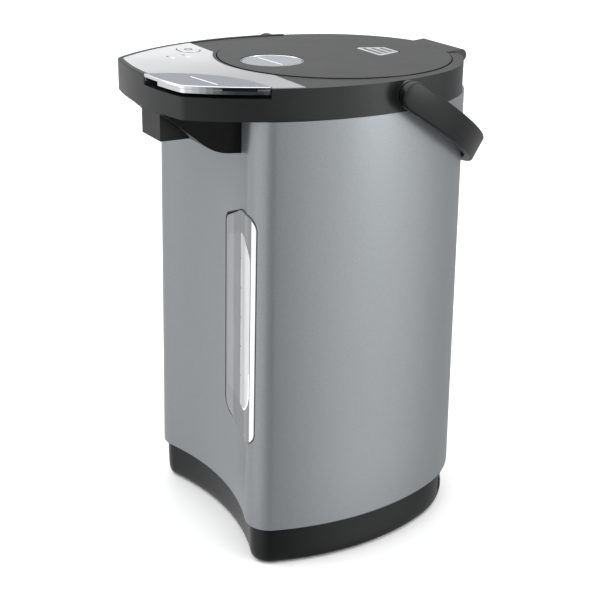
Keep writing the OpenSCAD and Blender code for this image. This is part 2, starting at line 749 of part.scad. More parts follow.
// Dispense button
button_top = pot_h + 1.2;
button_skirt = notch_floor + dispense_travel + 0.4;
module dispense_button() {
    color(chrome_plate) difference() {
        union() {
            translate([0, 0, button_skirt]) linear_extrude(button_top - button_skirt) button_outline(button_gap, 0);
        }
        translate([0, 0, button_skirt - 1]) linear_extrude(button_top - 2.2 - button_skirt + 1)
            button_outline(button_gap + 2, 2);
        translate([0, 0, button_top - 0.6]) linear_extrude(2) button_outline(button_gap + 1.5, 2);
    }
    color(chrome_plate) at_stem() disc(stem_r, stem_low, button_top - 2.2);
}
module button_inlay() {
    color(label_grey) translate([0, 0, button_top - 0.6]) linear_extrude(0.8) button_outline(button_gap + 1.6, 2.1);
}
module dispense_spring() {
    color(bright_steel) at_stem() translate([0, 0, notch_floor])
        coil_spring(stem_r + 1.6, 0.4, button_top - 2.2 - notch_floor, 4);
}
module dispense_switch() {
    color(black_plastic) at_stem() block([-6, -10, head_plate_top], [6, 10, head_plate_top + 5]);
}

// Spout
spout_front = 143.5;
spout_back = 119;
spout_low = collar_z - 23.1;
cover_wall = 2;
bib_front = 148.8;
bib_front_half = 29.3;
bib_back_half = 47.5;
bib_low = collar_z - 29;
bib_back = 92;
bib_turn_y = 114.5;
bib_turn_r = 26;
// Side view of the fairing: a straight run down from the collar that turns into a level underside
module bib_profile(d) {
    polygon(rounded([[-bib_front + 2 * d, collar_z, 0.2], [-bib_turn_y + d, bib_low + d, bib_turn_r],
                     [-bib_back, bib_low + d, 0.2], [-bib_back, collar_z, 0.2]]));
}
module bib_plan(d) {
    polygon([[-bib_front_half + d, -bib_front], [bib_front_half - d, -bib_front],
             [bib_back_half - d, -bib_back], [-bib_back_half + d, -bib_back]]);
}
module spout_box(d) {
    translate([0, 0, spout_low + d]) linear_extrude(collar_z - spout_low - d + (d > 0 ? 1 : 0))
        translate([0, -(spout_front + spout_back) / 2])
        square([2 * (spout_half_w - d), spout_front - spout_back - 2 * d], center = true);
}
module bib(d) {
    intersection() {
        rotate([90, 0, 90]) linear_extrude(120, center = true) bib_profile(d);
        translate([0, 0, bib_low - 5]) linear_extrude(60) bib_plan(d);
    }
}
module spout_cover() {
    color(black_plastic) difference() {
        union() {
            bib(0);
            spout_box(0);
        }
        bib(cover_wall);
        spout_box(cover_wall);
        shell_core(-fit_gap, base_h, collar_z + 10);
        translate([0, -spout_y, 0]) disc(6.3, 0, pot_h);
    }
}
nozzle_low = spout_low - 2.5;
nozzle_r = 6;
riser_z = collar_z + 8.4;
riser_span = norm([tube_x, spout_y - tube_y]);
riser_turn = atan2(tube_y - spout_y, -tube_x);
riser_bend = 12;
module spout_nozzle() {
    color(black_plastic) difference() {
        union() {
            translate([0, -spout_y, 0]) {
                disc(nozzle_r, nozzle_low, riser_z + tube_r + 0.5);
                disc(nozzle_r + 3, head_plate_top, head_plate_top + 1.5);
                rotate(riser_turn + 180) along_x(tube_r, nozzle_r - 1, riser_bend, 0, riser_z);
            }
        }
        translate([0, -spout_y, 0]) {
            disc(outlet_r, nozzle_low - 1, riser_z + outlet_r);
            rotate(riser_turn + 180) along_x(tube_bore_r - 0.5, 0, riser_bend + 1, 0, riser_z);
        }
    }
}
module riser_hose() {
    color(silicone) translate([tube_x, -tube_y, 0]) rotate(riser_turn) {
        tube(tube_r, tube_bore_r - 0.5, tube_z1, riser_z - riser_bend);
        translate([riser_bend, 0, riser_z - riser_bend]) mirror([1, 0, 0]) hose_bend(riser_bend);
        translate([riser_bend, 0, riser_z]) hose_run(riser_span - 2 * riser_bend);
    }
}

// Handle. Its middle line is an oval of arcs: a long one down each side and a tighter one round the back.
handle_lean_z = pivot_z - 72;
handle_lean_y = (shell_back_r + shell_back_y) * (1 - shell_taper * (handle_lean_z - base_h) / shell_h) + fit_gap;
handle_reach = (handle_lean_y + strap_w / 2 * sin(handle_drop)) / cos(handle_drop) + strap_t / 2;
handle_side_r = 135;
handle_side_c = [handle_half_w - handle_side_r, 0];
handle_end_r = (pow(handle_side_r, 2) - pow(handle_side_c[0], 2) - pow(handle_reach, 2)) / (2 * (handle_side_r - handle_reach));
handle_end_c = [0, handle_reach - handle_end_r];
function handle_ring(d) =
    let (a = heading(handle_end_c - handle_side_c))
    concat(arc(handle_side_c, handle_side_r + d, 0, a, 16), arc(handle_end_c, handle_end_r + d, a, 180 - a, 48),
           arc([-handle_side_c[0], 0], handle_side_r + d, 180 - a, 180, 16));
function reversed(p) = [for (i = [len(p) - 1:-1:0]) p[i]];
module at_handle() { translate([0, 0, pivot_z]) rotate([-handle_drop, 0, 0]) children(); }
module carry_handle() {
    color(black_plastic) at_handle() difference() {
        union() {
            linear_extrude(strap_w, center = true)
                polygon(concat(handle_ring(strap_t / 2), reversed(handle_ring(-strap_t / 2))));
            both_sides() along_x(strap_w / 2, handle_half_w - strap_t / 2, handle_half_w + strap_t / 2, 0, 0);
        }
        both_sides() along_x(pivot_r + run_gap, 0, pivot_bore_end, 0, 0);
    }
}
module handle_pins() {
    color(bright_steel) both_sides() along_x(pivot_r, lid_seam_r + 3, pivot_bore_end - 0.3, 0, pivot_z);
}

// Lid
lid_r = lid_seam_r - lid_gap;
lid_top_t = 3;
lid_plate_z = pot_h - lid_top_t;
lid_rim_z = pot_h - 7.5;
rim_t = 2.7;
liner_r = throat_r - 2.2;
liner_low = pot_top + 0.2;
liner_t = 1.5;
vent_at = [0, 39.5];
vent_front_half = 17.3;
vent_back_half = 10;
vent_half_l = 10.5;
screw_spots = [[-48, -18], [48, -18], [-36, 44], [36, 44]];
bezel_r = lid_button_r + 1.4;
module vent_outline(d) {
    polygon([[-vent_front_half + d, -vent_half_l + d], [vent_front_half - d, -vent_half_l + d],
             [vent_back_half - d, vent_half_l - d], [-vent_back_half + d, vent_half_l - d]]);
}
module at_vent() { translate([vent_at[0], vent_at[1], 0]) children(); }
module at_lid_button() { translate([0, -lid_button_y, 0]) children(); }
leaf_side = [[78, leaf_z], [78, lid_top], [lid_r - 2, lid_top],
             [hinge_y - barrel_r * sin(8), hinge_z + barrel_r * cos(8)], [hinge_y, hinge_z + 2], [hinge_y, leaf_z]];
module lid_cover() {
    color(charcoal_plastic) difference() {
        union() {
            disc(lid_r, lid_plate_z, lid_top);
            tube(lid_r, lid_r - rim_t, lid_rim_z, lid_plate_z + 1);
            translate([-hinge_half_w, 0, 0]) rotate([90, 0, 90]) linear_extrude(2 * hinge_half_w) polygon(leaf_side);
            along_x(barrel_r, -hinge_half_w, hinge_half_w, hinge_y, hinge_z);
            at_each(screw_spots) disc(3.5, lid_rim_z, lid_plate_z + 1);
        }
        along_x(hinge_pin_r + run_gap, -hinge_half_w - 1, hinge_half_w - 1.5, hinge_y, hinge_z);
        // Room for the knuckle of the collar in the middle of the barrel
        along_x(knuckle_r + 0.5, -knuckle_half_w - 0.4, knuckle_half_w + 0.4, hinge_y, hinge_z);
        block([-knuckle_half_w - 0.4, hinge_y - 9, hinge_z - 9], [knuckle_half_w + 0.4, hinge_y + 9, hinge_z + 0.6]);
        at_lid_button() disc(bezel_r + 0.1, 0, pot_h + 1);
        at_vent() translate([0, 0, lid_plate_z - 1]) linear_extrude(10) vent_outline(-0.4);
        block([-latch_half_w - 0.3, -lid_seam_r - 1, lid_rim_z - 1], [latch_half_w + 0.3, -lid_r + 6, latch_z1 + 0.4]);
        at_each(screw_spots) disc(base_screw_r + screw_gap, 0, lid_plate_z + 0.5);
    }
}
module lid_liner() {
    color(white_plastic) difference() {
        union() {
            disc(lid_r - 1, lid_rim_z - 1.4, lid_rim_z);
            disc(liner_r, liner_low, lid_rim_z - 1);
        }
        difference() {
            disc(liner_r - 2.3, liner_low + liner_t, pot_h);
            at_lid_button() disc(6.2, 0, latch_z0 - 0.8);
            at_each(screw_spots) disc(3.5, 0, lid_rim_z);
        }
        at_lid_button() disc(4.15, liner_low + liner_t, pot_h);
        at_vent() disc(3, 0, pot_h);
        at_each(screw_spots) disc(base_screw_r + 0.3, 0, pot_h);
    }
}
module lid_seal() { color(silicone) tube(throat_r - 0.7, liner_r + 0.05, liner_low + 1, liner_low + 5); }
module inner_lid() {
    color(bright_steel) difference() {
        disc(liner_r - 1.3, liner_low - 1.2, liner_low);
        at_vent() disc(3, 0, pot_h);
        at_each(screw_spots) disc(base_screw_r + 0.3, 0, pot_h);
    }
}
module lid_screws() {
    color(bright_steel) at_each(screw_spots) screw(base_screw_r, 3, 1.6, liner_low - 2.8, lid_rim_z + 3.5);
}
slot_w = 2.6;
module vent_insert() {
    color(silver_paint) at_vent() difference() {
        translate([0, 0, lid_plate_z]) linear_extrude(lid_top_t) vent_outline(0);
        for (s = [[-5.2, 10], [1.4, 8], [7.4, 5.6]])
            block([-s[1], s[0] - slot_w / 2, 0], [s[1], s[0] + slot_w / 2, pot_h + 5]);
    }
}
module vent_chamber() {
    color(white_plastic) at_vent() difference() {
        disc(15, liner_low + liner_t, lid_plate_z - 0.1);
        disc(13.5, liner_low + liner_t + 1.5, pot_h);
        disc(3, 0, pot_h);
    }
}
module button_bezel() {
    color(chrome_plate) at_lid_button() {
        tube(bezel_r, lid_button_r + 0.3, lid_plate_z - 1.2, pot_h + 0.2);
        tube(bezel_r + 2.3, lid_button_r + 0.3, lid_plate_z - 1.2, lid_plate_z);
    }
}
lid_stem_r = 4;
lid_stem_low = pot_h - 10;
module lid_button() {
    color(label_grey) at_lid_button() {
        disc(lid_button_r, pot_h - 1, pot_h - 0.1);
        disc(lid_stem_r, lid_stem_low, pot_h - 1 + eps);
    }
}
module lid_button_spring() {
    color(bright_steel) at_lid_button() translate([0, 0, liner_low + liner_t])
        coil_spring(3, 0.3, lid_stem_low - liner_low - liner_t, 4);
}
latch_rear = -40;
module latch_bolt() {
    color(white_plastic) difference() {
        union() {
            block([-latch_half_w, latch_tip, latch_z0], [latch_half_w, latch_rear, latch_z1]);
            block([-10, -72, latch_z0], [10, latch_rear, latch_z1]);
        }
        block([-lid_stem_r - 0.5, -lid_button_y - 9, 0], [lid_stem_r + 0.5, -lid_button_y + 5, pot_h]);
    }
}
module lid_hinge_pin() {
    color(bright_steel) along_x(hinge_pin_r, -hinge_half_w + 0.2, hinge_half_w - 1.8, hinge_y, hinge_z);
}

// The outlines above are drawn about the lid axis; this puts the origin at the middle of the footprint
handle_back_y = (handle_reach + strap_t / 2) * cos(handle_drop) + strap_w / 2 * sin(handle_drop);
origin_shift = (collar_front_y - handle_back_y) / 2;
translate([0, origin_shift, 0]) {
    outer_shell();
    base_housing();
    base_plate();
    rubber_feet();
    base_screws();
    top_collar();
    head_underside();
    collar_screws();
    pot_support();
    inner_pot();
    pot_seal();
    heater();
    thermostats();
    thermal_fuse();
    power_board();
    panel_board();
    control_panel();
    led_lenses();
    dispense_switch();
    spout_cover();
    spout_nozzle();
    riser_hose();
    gauge_tube();
    gauge_tray();
    gauge_window();
    outlet_hose();
    inlet_hose();
    pump_housing();
    pump_cover();
    impeller_pin();
    motor_bracket();
    bracket_screws();
    pump_motor();
    inlet_socket();
    inlet_pins();
    wiring_loom();
    handle_pins();
    lid_hinge_pin();
    carry_handle();
    lid_cover();
    lid_liner();
    lid_seal();
    inner_lid();
    vent_insert();
    vent_chamber();
    lid_screws();
    button_bezel();
    lid_button();
    lid_button_spring();
    latch_bolt();
    dispense_button();
    button_inlay();
    dispense_spring();
    mode_key();
    motor_rotor();
    drive_magnet();
    impeller();
    impeller_magnet();
}
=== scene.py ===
import json
from math import acos, atan2, cos, hypot, pi, radians, sin, sqrt, tan

import bmesh
import bpy
from mathutils import Matrix, Vector


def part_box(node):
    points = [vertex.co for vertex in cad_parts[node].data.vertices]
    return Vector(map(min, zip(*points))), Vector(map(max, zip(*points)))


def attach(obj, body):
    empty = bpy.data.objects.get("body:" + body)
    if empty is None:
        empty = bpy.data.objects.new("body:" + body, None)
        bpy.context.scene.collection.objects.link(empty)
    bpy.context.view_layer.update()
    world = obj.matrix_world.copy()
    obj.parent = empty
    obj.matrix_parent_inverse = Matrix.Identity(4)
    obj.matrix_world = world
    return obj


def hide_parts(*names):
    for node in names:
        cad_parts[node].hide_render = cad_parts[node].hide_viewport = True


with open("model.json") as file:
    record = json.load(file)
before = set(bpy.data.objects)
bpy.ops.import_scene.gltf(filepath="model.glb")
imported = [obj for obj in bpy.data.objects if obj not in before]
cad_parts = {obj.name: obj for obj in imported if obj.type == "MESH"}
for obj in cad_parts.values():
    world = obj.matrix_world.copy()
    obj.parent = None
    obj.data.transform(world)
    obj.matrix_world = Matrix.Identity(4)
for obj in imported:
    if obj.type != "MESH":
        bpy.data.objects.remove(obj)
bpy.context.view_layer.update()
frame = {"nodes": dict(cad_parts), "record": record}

# All sizes below are in millimetres about the lid's axis, as in the part's drawing.
seal_lo, seal_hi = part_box("pot_seal")
LID_AXIS_Y = (seal_lo[1] + seal_hi[1]) / 2
MM = 0.001

POT_H = 350.0
COLLAR_H = 21.4
COLLAR_Z = POT_H - COLLAR_H
BASE_H = 31.0
SHELL_H = COLLAR_Z - BASE_H
SHELL_TAPER = 0.032


def place(x, y, z):
    """A point of the drawing in the frame's metres."""
    return Vector((x * MM, y * MM + LID_AXIS_Y, z * MM))


# ---------------------------------------------------------------- outlines
def arc(centre, r, a0, a1, n):
    return [(centre[0] + r * cos(a0 + (a1 - a0) * i / n), centre[1] + r * sin(a0 + (a1 - a0) * i / n))
            for i in range(n + 1)]


def heading(v):
    return atan2(v[1], v[0])


def crossing(c0, r0, c1, r1, side):
    """Where two circles cross, on the given side of the line from c0 to c1."""
    dx, dy = c1[0] - c0[0], c1[1] - c0[1]
    d = hypot(dx, dy)
    a = (r0 * r0 - r1 * r1 + d * d) / (2 * d)
    h = sqrt(r0 * r0 - a * a)
    return (c0[0] + a * dx / d - side * h * dy / d, c0[1] + a * dy / d + side * h * dx / d)


def both_halves(points):
    return points + [(-x, y) for x, y in reversed(points[1:-1])]


def side_centre(half_w, side_r, back_r, back_y):
    cx = half_w - side_r
    return (cx, back_y - sqrt((side_r - back_r) ** 2 - cx * cx))


SHELL_BACK = (0.0, 6.2)
SHELL_BACK_R = 92.4
SHELL_SIDE_R = 188.9
SHELL_HALF_W = 100.7
SHELL_SIDE = side_centre(SHELL_HALF_W, SHELL_SIDE_R, SHELL_BACK_R, SHELL_BACK[1])
SHELL_FRONT_R = 202.7
SHELL_FRONT_Y = -94.9
SHELL_FRONT = (0.0, SHELL_FRONT_Y - SHELL_FRONT_R)
SHELL_CORNER_R = 18.1
FRONT_STEPS, CORNER_STEPS = 22, 26


def shell_ring(d):
    """Outline of the steel shell at its lower edge, set in by d."""
    rf = max(SHELL_CORNER_R - d, 1.0)
    f = crossing(SHELL_SIDE, SHELL_SIDE_R - d - rf, SHELL_FRONT, SHELL_FRONT_R + d + rf, 1)
    front = heading((f[0] - SHELL_FRONT[0], f[1] - SHELL_FRONT[1]))
    side = heading((f[0] - SHELL_SIDE[0], f[1] - SHELL_SIDE[1]))
    back = heading((SHELL_BACK[0] - SHELL_SIDE[0], SHELL_BACK[1] - SHELL_SIDE[1]))
    half = (arc(SHELL_FRONT, SHELL_FRONT_R + d, pi / 2, front, FRONT_STEPS)
            + arc(f, rf, front - pi, side, CORNER_STEPS)[1:]
            + arc(SHELL_SIDE, SHELL_SIDE_R - d, side, back, 34)[1:]
            + arc(SHELL_BACK, SHELL_BACK_R - d, back, pi / 2, 40)[1:])
    return both_halves(half)


COLLAR_SIDE_R = 178.6
COLLAR_BACK_R = 92.9
COLLAR_FRONT_R = 231.6
COLLAR_FRONT_Y = 151.3
COLLAR_HALF_W = 97.7
COLLAR_SIDE = side_centre(COLLAR_HALF_W, COLLAR_SIDE_R, COLLAR_BACK_R, 0.0)
COLLAR_FRONT = (0.0, COLLAR_FRONT_R - COLLAR_FRONT_Y)
COLLAR_CORNER_R = 7.0


def collar_ring(d):
    """Outline of the collar, set in by d."""
    rf = max(COLLAR_CORNER_R - d, 1.0)
    f = crossing(COLLAR_SIDE, COLLAR_SIDE_R - d - rf, COLLAR_FRONT, COLLAR_FRONT_R - d - rf, -1)
    front = heading((f[0] - COLLAR_FRONT[0], f[1] - COLLAR_FRONT[1]))
    side = heading((f[0] - COLLAR_SIDE[0], f[1] - COLLAR_SIDE[1]))
    back = heading((-COLLAR_SIDE[0], -COLLAR_SIDE[1]))
    half = (arc(COLLAR_FRONT, COLLAR_FRONT_R - d, -pi / 2, front, 16) + arc(f, rf, front, side, 12)[1:]
            + arc(COLLAR_SIDE, COLLAR_SIDE_R - d, side, back, 40)[1:]
            + arc((0.0, 0.0), COLLAR_BACK_R - d, back, pi / 2, 40)[1:])
    return both_halves(half)


def taper(z):
    return 1 - SHELL_TAPER * (z - BASE_H) / SHELL_H


def rounded(corners, n=8):
    """A closed polygon of (x, y, radius) with each corner rounded."""
    out = []
    for i, (x, y, r) in enumerate(corners):
        q = Vector((x, y))
        a = (Vector(corners[i - 1][:2]) - q).normalized()
        b = (Vector(corners[(i + 1) % len(corners)][:2]) - q).normalized()
        half = acos(max(-1, min(1, a.dot(b)))) / 2
        centre = q + (a + b).normalized() * r / sin(half)
        p0, p1 = q + a * r / tan(half) - centre, q + b * r / tan(half) - centre
        a0 = heading(p0)
        sweep = (heading(p1) - a0 + pi) % (2 * pi) - pi
        out += [(centre.x + r * cos(a0 + sweep * k / n), centre.y + r * sin(a0 + sweep * k / n))
                for k in range(n + 1)]
    return out


# ---------------------------------------------------------------- finishes
def srgb(code):
    """An sRGB hex colour as linear RGBA."""
    parts = [int(code[i:i + 2], 16) / 255 for i in (1, 3, 5)]
    return tuple(c / 12.92 if c <= 0.04045 else ((c + 0.055) / 1.055) ** 2.4 for c in parts) + (1.0,)


def add(tree, kind, settings=None, **links):
    """Adds one shader node; settings are attributes or input values, links join inputs to output sockets."""
    node = tree.nodes.new("ShaderNode" + kind)
    for key, value in (settings or {}).items():
        if isinstance(key, int) or key in node.inputs:
            node.inputs[key].default_value = value
        else:
            setattr(node, key, value)
    for key, socket in links.items():
        tree.links.new(socket, node.inputs[key.replace("_", " ")])
    return node


def surface(name, colour, roughness, metallic=0.0, **more):
    """A new material with its shader; returns material, node tree, shader and object-space position."""
    material = bpy.data.materials.new(name)
    material.use_nodes = True
    tree = material.node_tree
    shader = tree.nodes["Principled BSDF"]
    shader.inputs["Base Color"].default_value = srgb(colour)
    shader.inputs["Roughness"].default_value = roughness
    shader.inputs["Metallic"].default_value = metallic
    for key, value in more.items():
        shader.inputs[key.replace("_", " ")].default_value = value
    where = add(tree, "TexCoord").outputs["Object"]
    return material, tree, shader, where


def shade_between(tree, shader, mask, dark, light, low=0.3, high=0.7):
    """Runs the base colour from dark to light over a mask."""
    ramp = add(tree, "ValToRGB", Fac=mask)
    ramp.color_ramp.elements[0].position = low
    ramp.color_ramp.elements[0].color = srgb(dark)
    ramp.color_ramp.elements[1].position = high
    ramp.color_ramp.elements[1].color = srgb(light)
    tree.links.new(ramp.outputs["Color"], shader.inputs["Base Color"])


def rub(tree, shader, mask, low, high):
    """Runs the roughness from low to high over a mask."""
    span = add(tree, "MapRange", {"From Min": 0.3, "From Max": 0.7, "To Min": low, "To Max": high},
               Value=mask)
    tree.links.new(span.outputs["Result"], shader.inputs["Roughness"])


def grain(tree, shader, where, pitch_mm, depth_mm, strength=1.0, detail=2.0, stretch=(1, 1, 1)):
    """Raises a grain of the given pitch."""
    spread = add(tree, "Mapping", {"Scale": stretch}, Vector=where)
    noise = add(tree, "TexNoise", {"Scale": 1 / (pitch_mm * MM), "Detail": detail, "Roughness": 0.55},
                Vector=spread.outputs["Vector"])
    bump = add(tree, "Bump", {"Strength": strength, "Distance": depth_mm * MM}, Height=noise.outputs["Fac"])
    tree.links.new(bump.outputs["Normal"], shader.inputs["Normal"])
    return noise.outputs["Fac"]


def clouds(tree, where, size_mm, detail=3.0):
    return add(tree, "TexNoise", {"Scale": 1 / (size_mm * MM), "Detail": detail}, Vector=where).outputs["Fac"]


def painted_steel():
    # Satin metallic lacquer on rolled steel: pale flakes in a grey coat, soft broad reflections.
    m, t, s, p = surface("satin_metallic_lacquer", "#85898C", 0.33, 0.6, Coat_Weight=0.1, Coat_Roughness=0.3)
    # Flakes of about 0.1 mm are drawn at 0.7 mm so that they show at all.
    flakes = grain(t, s, p, 0.7, 0.012, 0.4)
    shade_between(t, s, flakes, "#818588", "#898D90", 0.35, 0.65)
    rub(t, s, clouds(t, p, 60), 0.31, 0.35)
    return m


def moulded_charcoal():
    # Moulded ABS with a fine spark-eroded grain: nearly black from above, charcoal in flat light.
    m, t, s, p = surface("moulded_charcoal_abs", "#1D1E1E", 0.3, Specular_IOR_Level=0.3, IOR=1.5)
    rough = grain(t, s, p, 0.6, 0.02, 0.4)
    shade_between(t, s, rough, "#1A1B1B", "#202121", 0.3, 0.7)
    rub(t, s, clouds(t, p, 35), 0.28, 0.33)
    return m


def moulded_black():
    # Moulded black ABS with a slightly silky skin.
    m, t, s, p = surface("moulded_black_abs", "#0C0D0D", 0.3, Specular_IOR_Level=0.27, IOR=1.5)
    rough = grain(t, s, p, 0.7, 0.012, 0.3)
    shade_between(t, s, rough, "#0A0B0B", "#0F1010", 0.3, 0.7)
    rub(t, s, clouds(t, p, 40), 0.27, 0.33)
    return m


def chromed():
    # Bright chrome plate on plastic, with the faint waviness of moulded parts.
    m, t, s, p = surface("chrome_plate_on_abs", "#E6E8EC", 0.12, 1.0)
    rub(t, s, clouds(t, p, 18), 0.09, 0.16)
    grain(t, s, p, 9, 0.02, 0.25)
    return m


def silver_panel():
    # Printed silver film with a fine brushed sheen; painted shade runs its tone from pale at the spout end to
    # darker towards the lid.
    m, t, s, p = surface("silver_film", "#BFC0C1", 0.34, 0.35)
    lines = grain(t, s, p, 0.5, 0.006, 0.35, stretch=(0.06, 1, 1))
    along = add(t, "SeparateXYZ", Vector=p).outputs["X"]
    # 0 at the film's left tip, 1 at its right end, 130 mm further on: the run of the painted shade.
    painted_shade_along = add(t, "MapRange", {"From Min": -85 * MM, "From Max": 45 * MM, "To Min": 0.0, "To Max": 1.0},
                Value=along)
    brushed_and_painted_shade = add(t, "Math", {"operation": "MULTIPLY_ADD", 1: 0.06})
    t.links.new(lines, brushed_and_painted_shade.inputs[0])
    t.links.new(painted_shade_along.outputs["Result"], brushed_and_painted_shade.inputs[2])
    shade_between(t, s, brushed_and_painted_shade.outputs["Value"], "#D8D9DA", "#A2A3A4", 0.05, 1.0)
    rub(t, s, clouds(t, p, 30), 0.30, 0.38)
    return m


def blue_label(name, colour, dark, light):
    # Hard-coated label in pale blue-grey with a brushed metallic print.
    m, t, s, p = surface(name, colour, 0.26, 0.45)
    lines = grain(t, s, p, 0.6, 0.004, 0.3, stretch=(0.05, 1, 1))
    shade_between(t, s, lines, dark, light, 0.3, 0.7)
    return m


def pale_print():
    # White screen print, slightly raised and satin.
    m, t, s, p = surface("white_print", "#EEF0F2", 0.45)
    grain(t, s, p, 0.5, 0.004, 0.4)
    return m


def dark_print():
    # Black screen print, slightly raised and satin.
    m, t, s, p = surface("black_print", "#2A2B2D", 0.5)
    grain(t, s, p, 0.5, 0.004, 0.4)
    return m


def smoked_film():
    # Smoke-grey print on the back of the clear cover; the cover itself is the glossy coat over it.
    m, t, s, p = surface("smoked_film", "#626467", 0.4, Coat_Weight=1.0, Coat_Roughness=0.05)
    shade_between(t, s, clouds(t, p, 26), "#5E6063", "#66686B", 0.3, 0.7)
    return m


def backing_painted_shade():
    # The gauge's backing print with a faint warm-grey tint, under the same clear coat, drawn dark on the
    # ridge's left facet as painted shade.
    m, t, s, p = surface("backing_painted_shade", "#717376", 0.45, Coat_Weight=1.0, Coat_Roughness=0.05)
    shade_between(t, s, clouds(t, p, 18), "#6D6F72", "#75777A", 0.3, 0.7)
    return m


def backing_painted_light():
    # The same backing print, which the water level shows through, drawn pale on the ridge's right facet as
    # painted light; under the same clear coat.
    m, t, s, p = surface("backing_painted_light", "#BABBBC", 0.45, Coat_Weight=1.0, Coat_Roughness=0.05)
    shade_between(t, s, clouds(t, p, 18), "#B6B7B8", "#BEBFC0", 0.3, 0.7)
    return m


def clear_cover():
    # Clear polycarbonate: mostly see-through, with a faint smoke and moulding haze.
    m, t, s, p = surface("clear_polycarbonate", "#FAFBFB", 0.06, Transmission_Weight=0.97, IOR=1.45)
    rub(t, s, clouds(t, p, 25), 0.04, 0.08)
    return m


def white_moulding():
    # Moulded white ABS behind the window and inside the lid.
    m, t, s, p = surface("moulded_white_abs", "#D9DADA", 0.45, IOR=1.5)
    rough = grain(t, s, p, 0.8, 0.01, 0.3)
    shade_between(t, s, rough, "#D3D4D4", "#DEDFDF", 0.3, 0.7)
    return m


def brushed():
    # Stainless steel, spun or brushed: fine lines round the axis, broad sheen.
    m, t, s, p = surface("brushed_stainless", "#B9BBBD", 0.28, 1.0)
    lines = grain(t, s, p, 0.8, 0.006, 0.5, stretch=(1, 1, 0.05))
    rub(t, s, lines, 0.24, 0.34)
    return m


def soft_rubber():
    # Moulded black rubber, matt and a little dusty.
    m, t, s, p = surface("moulded_rubber", "#171717", 0.75)
    dust = grain(t, s, p, 0.9, 0.03, 0.5)
    shade_between(t, s, dust, "#141414", "#1F1F1F", 0.3, 0.7)
    return m


def silicone():
    # Platinum-cured silicone: milky, soft light under the skin.
    m, t, s, p = surface("milky_silicone", "#DADCDC", 0.42, Subsurface_Weight=0.2, Subsurface_Scale=0.003)
    grain(t, s, p, 1.2, 0.01, 0.3)
    return m


def brass():
    # Turned brass, slightly dulled.
    m, t, s, p = surface("turned_brass", "#C3A05A", 0.3, 1.0)
    rub(t, s, clouds(t, p, 6), 0.25, 0.42)
    return m


def circuit_lacquer():
    # Green solder lacquer over copper tracks, drawn as soft darker lanes.
    m, t, s, p = surface("green_solder_lacquer", "#2B5E3F", 0.3)
    lanes = add(t, "TexVoronoi", {"feature": "DISTANCE_TO_EDGE", "Scale": 1 / (4 * MM)}, Vector=p)
    shade_between(t, s, lanes.outputs["Distance"], "#3C7A50", "#24523A", 0.05, 0.12)
    return m


def ferrite():
    # Sintered ferrite magnet: dark, dry, finely pitted.
    m, t, s, p = surface("sintered_ferrite", "#2A2A2B", 0.6)
    grain(t, s, p, 0.5, 0.03, 0.6)
    return m


FINISH = {
    "painted_steel": painted_steel(), "black_plastic": moulded_black(),
    "charcoal_plastic": moulded_charcoal(),
    "silver_paint": silver_panel(), "chrome_plate": chromed(),
    "label_grey": blue_label("blue_grey_label", "#898E96", "#848991", "#8E939B"),
    "bright_steel": brushed(), "rubber": soft_rubber(), "silicone": silicone(),
    "clear_plastic": clear_cover(),
    "white_plastic": white_moulding(), "board": circuit_lacquer(), "brass": brass(), "magnet": ferrite(),
}
# The lid button's cap has the same label finish as the press plate, drawn lighter as painted light against
# the shade that falls on the cap.
LID_LABEL_PAINTED_LIGHTER = blue_label("blue_grey_label_painted_lighter", "#A4A9B2", "#9EA3AC", "#AAAFB8")
PRINT, INK, SMOKE, FILM_PAINTED_SHADE, FILM_PAINTED_LIGHT = pale_print(), dark_print(), smoked_film(), backing_painted_shade(), backing_painted_light()

slot_of = {s["node"]: s["material_slot"] for s in frame["record"]["subparts"]}
body_of_node = {n: b for b, names in frame["record"]["behaviour"]["bodies"].items() for n in names}
for node, obj in frame["nodes"].items():
    obj.data.materials.clear()
    obj.data.materials.append(FINISH[slot_of[node]])


# ---------------------------------------------------------------- mesh tools
def show(mesh, name, material, sharp=32):
    mesh.polygons.foreach_set("use_smooth", [True] * len(mesh.polygons))
    mesh.set_sharp_from_angle(angle=radians(sharp))
    obj = bpy.data.objects.new(name, mesh)
    bpy.context.scene.collection.objects.link(obj)
    if material:
        mesh.materials.append(material)
    return obj


def solid(name, verts, faces, material=None, sharp=32):
    mesh = bpy.data.meshes.new(name)
    mesh.from_pydata([place(*v) for v in verts], [], faces)
    mesh.update()
    bm = bmesh.new()
    bm.from_mesh(mesh)
    bmesh.ops.recalc_face_normals(bm, faces=bm.faces)
    bm.to_mesh(mesh)
    bm.free()
    return show(mesh, name, material, sharp)


def loft(name, rings, material=None, closed=False, sharp=32):
    """Skins equal rings of (x, y, z); closed joins the last ring to the first, else both ends are capped."""
    n = len(rings[0])
    verts = [v for ring in rings for v in ring]
    faces = []
    for i in range(len(rings) if closed else len(rings) - 1):
        a, b = i * n, (i + 1) % len(rings) * n
        faces += [(a + j, a + (j + 1) % n, b + (j + 1) % n, b + j) for j in range(n)]
    if not closed:
        faces += [tuple(range(n - 1, -1, -1)), tuple((len(rings) - 1) * n + j for j in range(n))]
    return solid(name, verts, faces, material, sharp)


def prism(name, outline, z0, z1, material=None):
    return loft(name, [[(x, y, z0) for x, y in outline], [(x, y, z1) for x, y in outline]], material)


def circle(r, centre=(0.0, 0.0), n=96):
    return [(centre[0] + r * cos(2 * pi * i / n), centre[1] + r * sin(2 * pi * i / n)) for i in range(n)]


def settled(obj):
    """Applies the piece's modifiers."""
    shape = obj.evaluated_get(bpy.context.evaluated_depsgraph_get())
    mesh = bpy.data.meshes.new_from_object(shape)
    obj.modifiers.clear()
    obj.data = mesh
    return obj


def cut(obj, *cutters):
    for cutter in cutters:
        m = obj.modifiers.new("cut", "BOOLEAN")
        m.operation = "DIFFERENCE"
        m.solver = "EXACT"
        m.object = cutter
    settled(obj)
    for cutter in cutters:
        bpy.data.objects.remove(cutter)
    obj.data.set_sharp_from_angle(angle=radians(32))
    return obj


